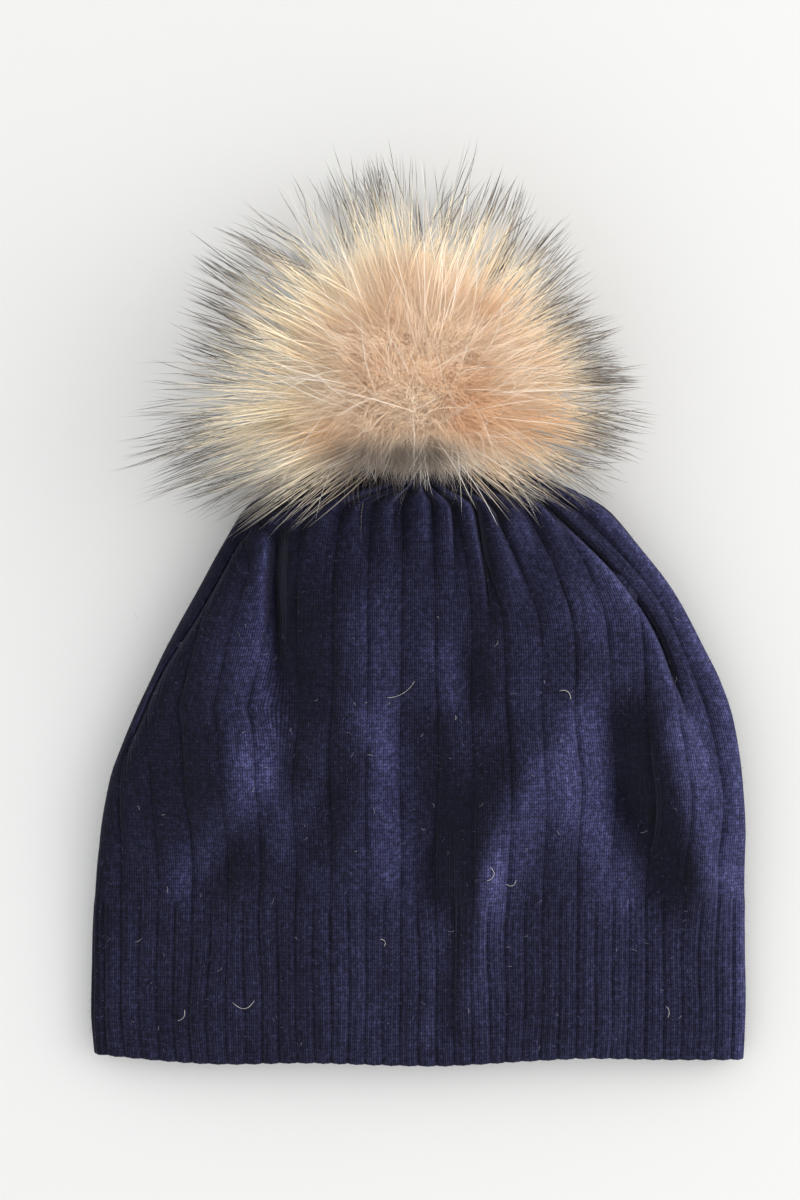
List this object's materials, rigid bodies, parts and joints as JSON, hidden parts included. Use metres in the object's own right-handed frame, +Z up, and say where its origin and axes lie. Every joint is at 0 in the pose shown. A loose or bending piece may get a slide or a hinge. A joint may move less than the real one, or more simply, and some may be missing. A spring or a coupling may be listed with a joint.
{
  "type": "pom pom beanie",
  "caption": "Navy rib-knit beanie lying flat, with a fine rib brim, a gathered crown and a detachable fur pom held by a press stud.",
  "frame": {"origin": "on the table under the middle of the hat's bounding box, as it lies flat", "axes": "+Y from the brim to the pom along the hat's length, +Z up from the table, +X across the hat"},
  "size_m": [0.221, 0.2888, 0.1002],
  "materials": {
    "knit": "matte",
    "label": "satin",
    "thread": "matte",
    "felt": "matte",
    "snap_metal": "satin",
    "spring_wire": "satin",
    "base_leather": "matte",
    "button_plastic": "gloss",
    "stuffing": "matte",
    "pelt_skin": "matte",
    "pelt_thread": "matte",
    "underfur": "satin",
    "guard_hair": "satin"
  },
  "bodies": {
    "hat": {"rib_brim": "knit", "knit_body": "knit", "back_seam": "knit", "care_label": "label", "crown_gather_thread": "thread", "crown_patch": "felt", "stud_eyelet": "snap_metal", "snap_stud": "snap_metal"},
    "spring_ring": {"socket_spring": "spring_wire"},
    "snap_half": {"snap_socket": "snap_metal", "socket_cap": "snap_metal", "pom_base_disc": "base_leather"},
    "pom": {"pom_shank_cord": "thread", "anchor_button": "button_plastic", "pom_stuffing": "stuffing", "pom_pelt": "pelt_skin", "pelt_draw_thread": "pelt_thread", "pom_underfur": "underfur", "pom_guard_hair": "guard_hair"}
  },
  "joints": [
    {"name": "pom_pull", "type": "slide", "parent": "hat", "child": "spring_ring", "axis": [0, 0.7547, 0.6561], "range_m": [0, 0.06]},
    {"name": "pom_spin", "type": "hinge", "parent": "spring_ring", "child": "snap_half", "pos_m": [0, 0.05964, 0.02002], "axis": [0, 0.7547, 0.6561], "continuous": true},
    {"name": "pom_nod", "type": "hinge", "parent": "snap_half", "child": "pom", "pos_m": [0, 0.06681, 0.02625], "axis": [1, 0, 0], "range_deg": [0, 22]}
  ]
}
